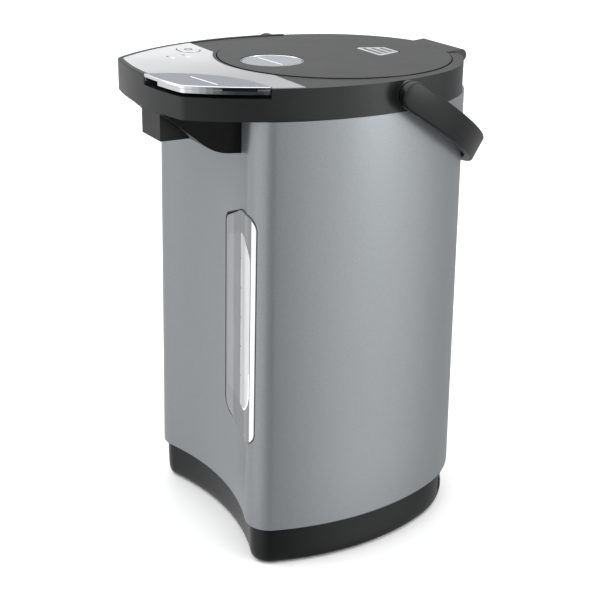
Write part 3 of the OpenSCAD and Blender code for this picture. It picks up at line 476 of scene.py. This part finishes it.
def eased(obj, width, segments=2, angle=36):
    """Breaks the sharp edges of a piece with a small round."""
    m = obj.modifiers.new("edge", "BEVEL")
    m.width = width * MM
    m.segments = segments
    m.limit_method = "ANGLE"
    m.angle_limit = radians(angle)
    m.use_clamp_overlap = True
    settled(obj)
    obj.data.polygons.foreach_set("use_smooth", [True] * len(obj.data.polygons))
    obj.data.set_sharp_from_angle(angle=radians(50))
    flat = obj.modifiers.new("flat", "WEIGHTED_NORMAL")
    flat.keep_sharp = True
    return settled(obj)


def cast(node, name, edge, segments=2, finish=None):
    """A piece in the shape of a CAD node, with its facets joined and its edges broken."""
    mesh = frame["nodes"][node].data.copy()
    mesh.name = name
    bm = bmesh.new()
    bm.from_mesh(mesh)
    bmesh.ops.remove_doubles(bm, verts=bm.verts, dist=2e-6)
    bmesh.ops.dissolve_limit(bm, angle_limit=radians(0.6), verts=bm.verts, edges=bm.edges)
    bmesh.ops.recalc_face_normals(bm, faces=bm.faces)
    bm.to_mesh(mesh)
    bm.free()
    mesh.materials.clear()
    obj = show(mesh, name, finish or FINISH[slot_of[node]])
    return fit(eased(obj, edge, segments), node)


def fit(obj, node):
    """Puts a piece in the place of a CAD node."""
    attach(obj, body_of_node[node])
    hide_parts(node)
    return obj


def trim(obj, body):
    """Adds a small piece that has no CAD node of its own."""
    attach(obj, body)
    return obj


# ---------------------------------------------------------------- steel shell
WINDOW_LEFT, WINDOW_MID, WINDOW_RIGHT = 13.5, 50, 79.5
WINDOW = rounded([(WINDOW_LEFT, 99, 9), (WINDOW_MID, 93, 60), (WINDOW_RIGHT, 97.5, 9),
                  (79.1, 264, 9), (WINDOW_MID, 261.8, 40), (WINDOW_LEFT, 246.5, 6)])


def grown(outline, by):
    """An anticlockwise outline moved outwards; by is a distance, or a distance for each x."""
    out = []
    for i, (x, z) in enumerate(outline):
        a, b = outline[i - 1], outline[(i + 1) % len(outline)]
        d = hypot(b[0] - a[0], b[1] - a[1])
        far = by(x) if callable(by) else by
        out.append((x + (b[1] - a[1]) / d * far, z - (b[0] - a[0]) / d * far))
    return out


def left_share(x):
    """1 at the window's left edge, falling to 0 at its middle."""
    return max(0.0, min(1.0, (WINDOW_MID - x) / 30))


# The hole stands off the cover on the left, where the dark gap shows.
WINDOW_HOLE = grown(WINDOW, lambda x: 0.25 + 2.0 * left_share(x))
HOLE_LINING = grown(WINDOW, lambda x: 0.05 + 0.9 * left_share(x))


def shell_level(d, z):
    k = taper(z)
    return [(x * k, y * k, z) for x, y in shell_ring(d)]


def steel_shell():
    hem = [(9, 31.0), (1.0, 31.0), (0.35, 31.15), (0.08, 31.5), (0, 32.2)]
    sides = [(0, 32.2 + (COLLAR_Z - 32.2) * i / 8) for i in range(1, 9)]
    inner = [(6, COLLAR_Z), (6, COLLAR_Z - 1), (1, COLLAR_Z - 1), (1, 32.0), (9, 32.0)]
    obj = loft("steel_shell", [shell_level(d, z) for d, z in hem + sides + inner],
               FINISH["painted_steel"], closed=True)
    hole = loft("window_hole", [[(x, y, z) for x, z in WINDOW_HOLE] for y in (-135, -72)])
    return fit(cut(obj, hole), "outer_shell")


steel_shell()


# ---------------------------------------------------------------- base
def base_skirt():
    rows = [(3.3, 31), (3.35, 20), (3.5, 11), (3.8, 6.5), (4.3, 4.2), (5.0, 2.7), (5.8, 2.05), (6.0, 2.0),
            (6.05, 4.8), (6.05, 28.0), (14, 28.0), (14, 31)]
    obj = loft("base_skirt", [[(x, y, z) for x, y in shell_ring(d)] for d, z in rows],
               FINISH["black_plastic"], closed=True)
    a = radians(51.5)
    r, half_w = SHELL_BACK_R - 3.3, 17.2
    box = []
    for u, v in ((r - 22, -half_w), (r + 20, -half_w), (r + 20, half_w), (r - 22, half_w)):
        box.append((u * cos(a) - v * sin(a), SHELL_BACK[1] + u * sin(a) + v * cos(a)))
    return fit(cut(obj, prism("inlet_hole", box, 5.8, 24.2)), "base_housing")


base_skirt()
cast("base_plate", "base_pan", 0.5)
cast("inlet_socket", "inlet_housing", 0.6, finish=FINISH["black_plastic"])

# ---------------------------------------------------------------- collar and spout
cast("top_collar", "collar_moulding", 0.7, 3)


def collar_rim():
    """The collar's low rim round the left of the panel, to beside the handle's far end."""
    panel_tip_x, panel_front_y, far_end_y = 14, -60, 10
    rings = []
    rows = [(0.35, 349.6), (0.35, 350.2), (0.9, 350.75), (3.4, 350.75), (3.7, 350.5), (3.7, 349.6)]
    outlines = [(collar_ring(d), z) for d, z in rows]
    count = len(outlines[0][0])
    for i in [(k + count // 2) % count for k in range(count)]:
        x, y = outlines[0][0][i]
        if (x < panel_tip_x and y < panel_front_y) or (x < 0 and y < far_end_y):
            rings.append([(ring[i][0], ring[i][1], z) for ring, z in outlines])
    return trim(loft("collar_rim", rings, FINISH["charcoal_plastic"], sharp=40), "pot")


collar_rim()
cast("spout_cover", "spout_fairing", 0.8, 3)
cast("spout_nozzle", "outlet_nozzle", 0.5)
cast("control_panel", "panel_film", 0.25)
cast("led_lenses", "lamp_lenses", 0.3, finish=FINISH["white_plastic"])
cast("mode_key", "oval_key", 0.8, 3)


def key_line(r):
    """A long round outline about the mode key."""
    return arc((-58.5, -87.0), r, -pi / 2, pi / 2, 24) + arc((-64.5, -87.0), r, pi / 2, 3 * pi / 2, 24)


def key_marks():
    """The thin line round the mode key and the plain ring on its cap."""
    line = [[(x, y, z) for x, y in key_line(r)]
            for r, z in ((7.3, 350.3), (7.9, 350.3), (7.9, 350.46), (7.3, 350.46))]
    trim(loft("oval_key_line", line, INK, closed=True), "pot")
    mark = [[(x, y, z) for x, y in circle(r, (-60.6, -87.4), 48)]
            for r, z in ((3.1, 351.0), (3.1, 351.12), (2.3, 351.12), (2.3, 351.0))]
    trim(loft("oval_key_mark", mark, INK, closed=True), "mode_key")


key_marks()
for side, at in (("front", (-44.0, -111.0)), ("back", (-44.5, -98.6))):
    trim(prism(side + "_lamp_mark", circle(1.0, at, 24), 350.38, 350.5, INK), "pot")


# ---------------------------------------------------------------- dispense button
BUTTON_C, BUTTON_ARC_R = (78.0, -166.0), 71.0


def button_ring(gap, edge, along=150, across=70):
    """Outline of the dispense button: the collar's edge set in by edge, and its arc set in by gap."""
    r = BUTTON_ARC_R - gap
    ring = collar_ring(edge)
    inside = [hypot(x - BUTTON_C[0], y - BUTTON_C[1]) < r for x, y in ring]
    first = next(i for i in range(len(ring)) if inside[i] and not inside[i - 1])
    run = [ring[(first + k) % len(ring)] for k in range(sum(inside))]

    def rim(a, b):
        lo, hi = 0.0, 1.0
        for _ in range(30):
            t = (lo + hi) / 2
            x, y = a[0] + (b[0] - a[0]) * t, a[1] + (b[1] - a[1]) * t
            lo, hi = (t, hi) if hypot(x - BUTTON_C[0], y - BUTTON_C[1]) < r else (lo, t)
        return a[0] + (b[0] - a[0]) * lo, a[1] + (b[1] - a[1]) * lo

    run = [rim(run[0], ring[first - 1])] + run + [rim(run[-1], ring[(first + sum(inside)) % len(ring)])]
    steps = [0.0]
    for a, b in zip(run, run[1:]):
        steps.append(steps[-1] + hypot(b[0] - a[0], b[1] - a[1]))
    out = []
    k = 0
    for i in range(along):
        d = steps[-1] * i / (along - 1)
        while k < len(run) - 2 and steps[k + 1] < d:
            k += 1
        t = (d - steps[k]) / max(steps[k + 1] - steps[k], 1e-9)
        out.append((run[k][0] + (run[k + 1][0] - run[k][0]) * t, run[k][1] + (run[k + 1][1] - run[k][1]) * t))
    a0 = heading((out[-1][0] - BUTTON_C[0], out[-1][1] - BUTTON_C[1]))
    a1 = heading((out[0][0] - BUTTON_C[0], out[0][1] - BUTTON_C[1]))
    while a1 < a0:
        a1 += 2 * pi
    return out + arc(BUTTON_C, r, a0, a1, across)[1:-1]


def dispense_plate():
    rows = [(4.0, 4.0, 346.0), (1.3, 0.7, 346.0), (1.0, 0.45, 346.3), (1.0, 0.45, 348.7), (0.8, 0.2, 348.9),
            (0.6, 0.0, 349.1), (0.6, 0.0, 350.7), (0.75, 0.12, 351.0), (1.0, 0.4, 351.2),
            (1.5, 1.9, 351.2), (1.55, 1.95, 350.8)]
    obj = loft("press_plate", [[(x, y, z) for x, y in button_ring(g, e)] for g, e, z in rows],
               FINISH["chrome_plate"], sharp=40)
    slot = rounded([(68.3, -122.3, 0.6), (72.8, -124.8, 0.6), (83.6, -105.1, 0.6), (79.1, -102.6, 0.6)])
    cut(obj, prism("left_notch", [(10, -160), (27, -160), (27, -140), (10, -140)], 345, 348.9),
        prism("side_slot", slot, 348.4, 350.4))
    fit(obj, "dispense_button")
    lining = prism("side_slot_lining", [(68.2, -122.3), (69.6, -123.06), (80.4, -103.4), (79.0, -102.6)],
                   348.3, 350.5, FINISH["black_plastic"])
    trim(lining, "dispense")


dispense_plate()
label = loft("press_plate_label", [[(x, y, z) for x, y in button_ring(g, e)] for g, e, z in
                                   ((1.65, 2.05, 350.75), (1.65, 2.05, 351.2), (1.8, 2.2, 351.35))],
             FINISH["label_grey"], sharp=40)
fit(label, "button_inlay")


def bar(name, a, b, width, z0, z1, material):
    """A flat bar with round ends from a to b."""
    turn = heading((b[0] - a[0], b[1] - a[1]))
    out = (arc(b, width / 2, turn - pi / 2, turn + pi / 2, 8)
           + arc(a, width / 2, turn + pi / 2, turn + 3 * pi / 2, 8))
    return prism(name, out, z0, z1, material)


# A plain bar on the label, where the photograph's word is left off.
trim(bar("press_plate_mark", (32.7, -128.0), (62.8, -123.4), 1.0, 351.3, 351.42, PRINT),
     "dispense")

# ---------------------------------------------------------------- lid
cast("lid_cover", "lid_disc", 0.6, 3)


def vent_grille():
    """A thin slotted plate, just proud of the lid, over a black plate that paints the shade in the slots."""
    at_y, front_half_w, back_half_w, half_deep, corner_r = 38.7, 17.3, 10, 10.5, 2.2
    corners = ((-front_half_w, -half_deep), (front_half_w, -half_deep),
               (back_half_w, half_deep), (-back_half_w, half_deep))
    edge = rounded([(x, at_y + y, corner_r) for x, y in corners])
    inner = [(x * 0.985, at_y + (y - at_y) * 0.975) for x, y in edge]
    plate = loft("vent_grille", [[(x, y, z) for x, y in ring] for ring, z in
                                 ((edge, 350.0), (edge, 350.6), (inner, 350.75))], FINISH["silver_paint"])
    slots = [prism("slot", rounded([(-w, at_y + y - 1.6, 1.2), (w, at_y + y - 1.6, 1.2),
                                    (w, at_y + y + 1.6, 1.2), (-w, at_y + y + 1.6, 1.2)]), 349, 352)
             for y, w in ((-6.4, 12.8), (-0.4, 10.8), (5.6, 8.6))]
    fit(cut(plate, *slots), "vent_insert")
    # The black plate under the slots is painted shade.
    painted_shade_well = [(x * 0.97, at_y + (y - at_y) * 0.96) for x, y in edge]
    trim(prism("vent_painted_shade_plate", painted_shade_well, 347.1, 350.0, FINISH["black_plastic"]), "lid")


vent_grille()
cast("lid_liner", "lid_lining", 0.6)
cast("lid_seal", "lid_gasket", 0.8, 3)
cast("inner_lid", "inner_lid_plate", 0.3)
cast("button_bezel", "button_ring", 0.3)
# The cap takes the lighter copy of the label finish: painted light.
cast("lid_button", "lid_button_cap", 0.25, finish=LID_LABEL_PAINTED_LIGHTER)
trim(bar("lid_button_mark", (-15.0, -53.4), (14.0, -50.2), 0.9, POT_H - 0.15, POT_H - 0.02, PRINT),
     "lid_button")


# ---------------------------------------------------------------- handle
PIVOT_Z = POT_H - 9.8


def handle_strap():
    half_w, side_r, thick, width = 104.0, 135.0, 7.0, 19.6
    drop = radians(32)
    lean_z = PIVOT_Z - 72
    lean_y = (SHELL_BACK_R + SHELL_BACK[1]) * taper(lean_z) + 0.3
    reach = (lean_y + width / 2 * sin(drop)) / cos(drop) + thick / 2
    sx = half_w - side_r
    end_r = (side_r ** 2 - sx ** 2 - reach ** 2) / (2 * (side_r - reach))
    end_y = reach - end_r
    turn = heading((-sx, end_y))
    line = [(half_w, -width / 2 * cos(radians(a))) for a in range(0, 90, 9)]
    line += arc((sx, 0), side_r, 0, turn, 24) + arc((0, end_y), end_r, turn, pi / 2, 40)[1:]
    line += [(-x, y) for x, y in reversed(line[:-1])]
    rings = []
    for i, (x, y) in enumerate(line):
        p, q = line[max(i - 1, 0)], line[min(i + 1, len(line) - 1)]
        tx, ty = q[0] - p[0], q[1] - p[1]
        d = hypot(tx, ty)
        nx, ny = ty / d, -tx / d
        if y < 0:
            nx, ny = (1.0 if x > 0 else -1.0), 0.0
        wide = sqrt(max((width / 2) ** 2 - min(y, 0) ** 2, 0.09))
        r = min(1.6, wide * 0.9)
        section = [(thick / 2 - r, wide - r), (-(thick / 2 - r), wide - r), (-(thick / 2 - r), -(wide - r)),
                   (thick / 2 - r, -(wide - r))]
        ring = []
        for k, (u0, v0) in enumerate(section):
            for m in range(5):
                a = pi / 2 * (k + m / 4)
                u, v = u0 + r * cos(a), v0 + r * sin(a)
                lx, ly, lz = x + nx * u, y + ny * u, v
                ring.append((lx, ly * cos(drop) + lz * sin(drop), PIVOT_Z - ly * sin(drop) + lz * cos(drop)))
        rings.append(ring)
    return fit(loft("handle_strap", rings, FINISH["black_plastic"], sharp=50), "carry_handle")


handle_strap()

# ---------------------------------------------------------------- level window
FRONT_LINE = shell_ring(0)[:FRONT_STEPS + CORNER_STEPS + 1]
RIDGE_X, BAND_X = 52.0, 76.0
# How far the cover stands out of the steel: (x, distance).
STAND = [(10.0, 0.3), (WINDOW_LEFT, 0.3), (RIDGE_X, 1.6), (BAND_X, 0.9), (WINDOW_RIGHT, 0.15), (84.0, 0.1)]


def between(table, x):
    """The value at x on a line through (x, value) points."""
    for (x0, v0), (x1, v1) in zip(table, table[1:]):
        if x0 <= x <= x1:
            return v0 + (v1 - v0) * (x - x0) / (x1 - x0)
    return table[-1][1]


def front_y(x, z):
    """Where the steel's front face is."""
    return taper(z) * between(FRONT_LINE, x / taper(z))


def window_sheet(name, outline, back, thick, material):
    """A sheet of the given outline whose outer face lies back behind the cover's face."""
    bm = bmesh.new()
    bm.faces.new([bm.verts.new((x, 0, z)) for x, z in outline])
    edges = [RIDGE_X - 0.4, RIDGE_X + 0.4, BAND_X - 0.4, BAND_X + 0.4]
    rows = [((x, 0, 0), (1, 0, 0)) for x in list(range(16, 80, 4)) + edges]
    rows += [((0, 0, z), (0, 0, 1)) for z in range(108, 264, 12)]
    for co, no in rows:
        bmesh.ops.bisect_plane(bm, geom=bm.verts[:] + bm.edges[:] + bm.faces[:], plane_co=co, plane_no=no)
    for v in bm.verts:
        x, z = v.co.x, v.co.z
        v.co = place(x, front_y(x, z) - between(STAND, x) + back, z)
    mesh = bpy.data.meshes.new(name)
    bm.to_mesh(mesh)
    bm.free()
    obj = show(mesh, name, material)
    m = obj.modifiers.new("thickness", "SOLIDIFY")
    m.thickness = thick * MM
    m.offset = -1
    settled(obj)
    obj.data.set_sharp_from_angle(angle=radians(40))
    return obj


def clipped(outline, x0, x1):
    """The part of an outline between two x values."""
    for limit, keep in ((x0, lambda x: x >= x0), (x1, lambda x: x <= x1)):
        out = []
        for a, b in zip(outline, outline[1:] + outline[:1]):
            if keep(a[0]):
                out.append(a)
            if keep(a[0]) != keep(b[0]):
                t = (limit - a[0]) / (b[0] - a[0])
                out.append((limit, a[1] + (b[1] - a[1]) * t))
        outline = out
    return outline


def level_window():
    cover = window_sheet("window_cover", grown(WINDOW, -0.15), 0, 1.6, SMOKE)
    fit(eased(cover, 0.35, 3, 50), "gauge_window")
    fit(window_sheet("window_tray", grown(WINDOW, 2.0), 3.0, 1.0, FINISH["black_plastic"]), "gauge_tray")
    lining = []
    for outline, depth in ((WINDOW_HOLE, 0.1), (HOLE_LINING, 0.1), (HOLE_LINING, 3.0), (WINDOW_HOLE, 3.0)):
        lining.append([(x, front_y(x, z) + depth, z) for x, z in outline])
    trim(loft("window_gasket", lining, FINISH["rubber"], closed=True), "pot")
    panel = rounded([(18, 118, 3), (74.5, 118, 15), (74.5, 249, 17), (48, 245.5, 24), (18, 234, 5)])
    # The backing is one print drawn in two tones: painted shade on the left facet, painted light on the
    # right.
    trim(window_sheet("window_backing_painted_shade", clipped(panel, 0, RIDGE_X), -0.05, 0.3, FILM_PAINTED_SHADE), "pot")
    trim(window_sheet("window_backing_painted_light", clipped(panel, RIDGE_X, 80), -0.05, 0.3, FILM_PAINTED_LIGHT), "pot")
    # A white strip down the cover's right edge: painted highlight where that rounded edge catches the light.
    painted_highlight_band = clipped(grown(WINDOW, -0.5), BAND_X - 0.6, 80)
    trim(window_sheet("window_painted_highlight_band", painted_highlight_band, -0.06, 0.3, FINISH["white_plastic"]), "pot")
    rim_out = [(60, 118), (63, 118.2), (67, 119.6), (70.5, 122.3), (73.2, 126.5), (74.5, 132), (74.5, 150)]
    rim_in = [(73.5, 150), (73.5, 133), (72.3, 127.6), (70, 123.5), (66.6, 120.8), (63, 119.4), (60, 119.1)]
    trim(window_sheet("window_panel_rim", rim_out + rim_in, -0.09, 0.3, PRINT), "pot")
    for n, z in enumerate((227.5, 205.5, 184.0, 162.0, 139.5)):
        tick = [(50.3, z), (53.7, z), (53.7, z + 0.9), (50.3, z + 0.9)]
        trim(window_sheet("level_tick_%d" % (n + 1), tick, -0.1, 0.3, INK), "pot")


level_window()

# ---------------------------------------------------------------- studio
FLOOR_REACH = 30000
floor = solid("studio_floor", [(x * FLOOR_REACH, y * FLOOR_REACH, 0)
                               for x, y in ((-1, -1), (1, -1), (1, 1), (-1, 1))], [(0, 1, 2, 3)])
floor_finish, t, s, p = surface("pale_floor", "#F4F4F4", 0.6)
shade_between(t, s, clouds(t, p, 400), "#F2F2F2", "#F6F6F6")
floor.data.materials.append(floor_finish)
# Gloss sees the studio's walls instead of the bright floor.
floor.visible_glossy = False


def softbox(name, at, aim, size, watts, colour="#FFFFFF"):
    light = bpy.data.lights.new(name, "AREA")
    light.shape = "RECTANGLE"
    light.size, light.size_y = size
    light.energy = watts
    light.color = srgb(colour)[:3]
    obj = bpy.data.objects.new(name, light)
    obj.location = at
    obj.rotation_euler = (Vector(aim) - Vector(at)).to_track_quat("-Z", "Y").to_euler()
    bpy.context.scene.collection.objects.link(obj)


softbox("front_softbox", (-0.9, -1.6, 0.9), (0, 0, 0.15), (1.0, 1.4), 10)
softbox("right_softbox", (1.5, 1.1, 0.7), (0, 0, 0.15), (0.7, 1.4), 14)

# The room: a wide pale ceiling over mid-grey walls, with pale patches in front and at the right
# and a dark one between them.
world = bpy.data.worlds.new("studio")
world.use_nodes = True
sky = world.node_tree
toward = add(sky, "TexCoord").outputs["Generated"]
upward = add(sky, "SeparateXYZ", Vector=toward).outputs["Z"]


def wall(heading_deg, reach_deg, change):
    """A soft patch of lighter or darker wall in one direction."""
    aim = (cos(radians(heading_deg)), sin(radians(heading_deg)), 0)
    facing = add(sky, "VectorMath", {"operation": "DOT_PRODUCT", 0: aim})
    sky.links.new(toward, facing.inputs[1])
    full = 0.93
    fade = {"interpolation_type": "SMOOTHSTEP", "From Min": cos(radians(reach_deg)) * full, "From Max": full,
            "To Min": 0.0, "To Max": change}
    return add(sky, "MapRange", fade, Value=facing.outputs["Value"]).outputs["Result"]


def plus(a, b):
    both = add(sky, "Math", {"operation": "ADD"})
    sky.links.new(a, both.inputs[0])
    sky.links.new(b, both.inputs[1])
    return both.outputs["Value"]


ceiling = add(sky, "MapRange", {"From Min": 0.2, "From Max": 0.9, "To Min": 0.40, "To Max": 2.0},
              Value=upward)
light = plus(plus(ceiling.outputs["Result"], wall(32, 50, 0.95)), wall(-12, 45, -0.36))
light = plus(plus(light, wall(-125, 95, 0.4)), wall(-85, 40, 0.45))
sky.nodes["Background"].inputs["Color"].default_value = srgb("#FFFFFF")
sky.links.new(light, sky.nodes["Background"].inputs["Strength"])
bpy.context.scene.world = world
bpy.context.scene.view_settings.view_transform = "Standard"

# Camera: solved from the photograph's outlines.
AZIMUTH, PITCH, ROLL = radians(60.64), radians(21.04), radians(0.8465)
CAMERA_AT = (803.8, -477.4, 520.4)
FOCAL_PX, PICTURE_PX, SENSOR_MM = 1296.44, 600, 36.0
back = Vector((sin(AZIMUTH) * cos(PITCH), -cos(AZIMUTH) * cos(PITCH), sin(PITCH)))
level = Vector((cos(AZIMUTH), sin(AZIMUTH), 0))
upright = back.cross(level)
right = cos(ROLL) * level + sin(ROLL) * upright
up = back.cross(right)
camera = bpy.data.cameras.new("studio_camera")
camera.sensor_width = SENSOR_MM
camera.lens = FOCAL_PX / PICTURE_PX * SENSOR_MM
camera_obj = bpy.data.objects.new("studio_camera", camera)
turned = Matrix((right, up, back)).transposed().to_4x4()
camera_obj.matrix_world = Matrix.Translation(place(*CAMERA_AT)) @ turned
bpy.context.scene.collection.objects.link(camera_obj)
bpy.context.scene.camera = camera_obj
